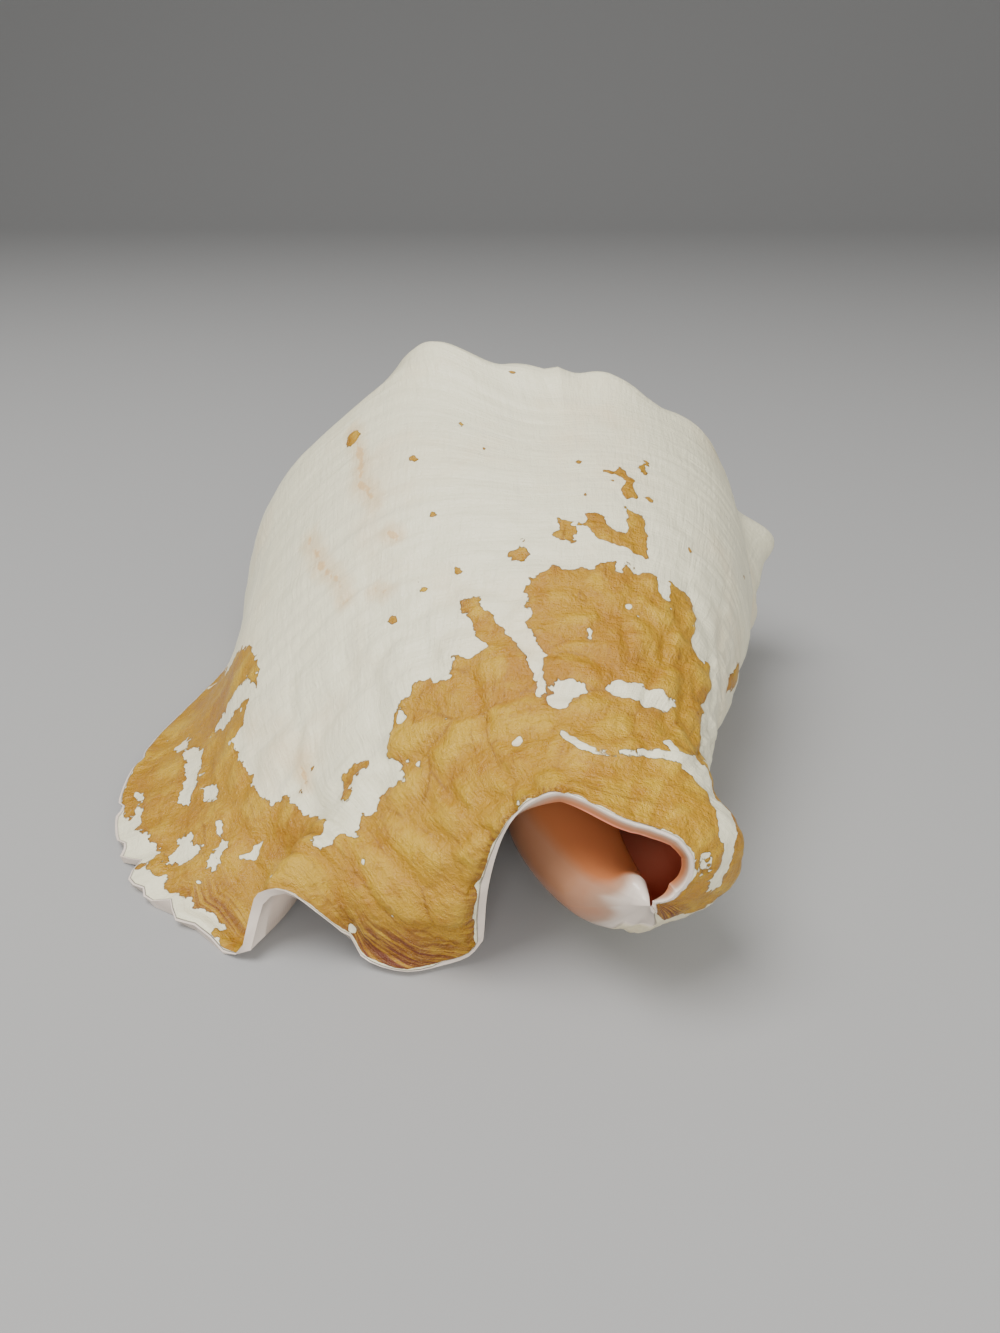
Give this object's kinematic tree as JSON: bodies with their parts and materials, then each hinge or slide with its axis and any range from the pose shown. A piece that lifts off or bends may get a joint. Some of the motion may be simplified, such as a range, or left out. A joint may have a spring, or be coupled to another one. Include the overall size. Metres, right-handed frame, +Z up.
{
  "type": "conch shell",
  "caption": "Large conch shell of a queen conch kind, lying on its opening: ivory body with blunt knobs, flared lip, wavy front edge and patches of ochre skin.",
  "frame": {"origin": "middle of the shell's bounding box at the level of the surface it lies on", "axes": "+Z up, +Y from the canal end to the tip of the spire, +X to the side away from the flared lip"},
  "size_m": [0.1918, 0.231, 0.1071],
  "materials": {
    "shell": "satin"
  },
  "bodies": {
    "root": {"conch_shell": "shell"}
  },
  "joints": []
}
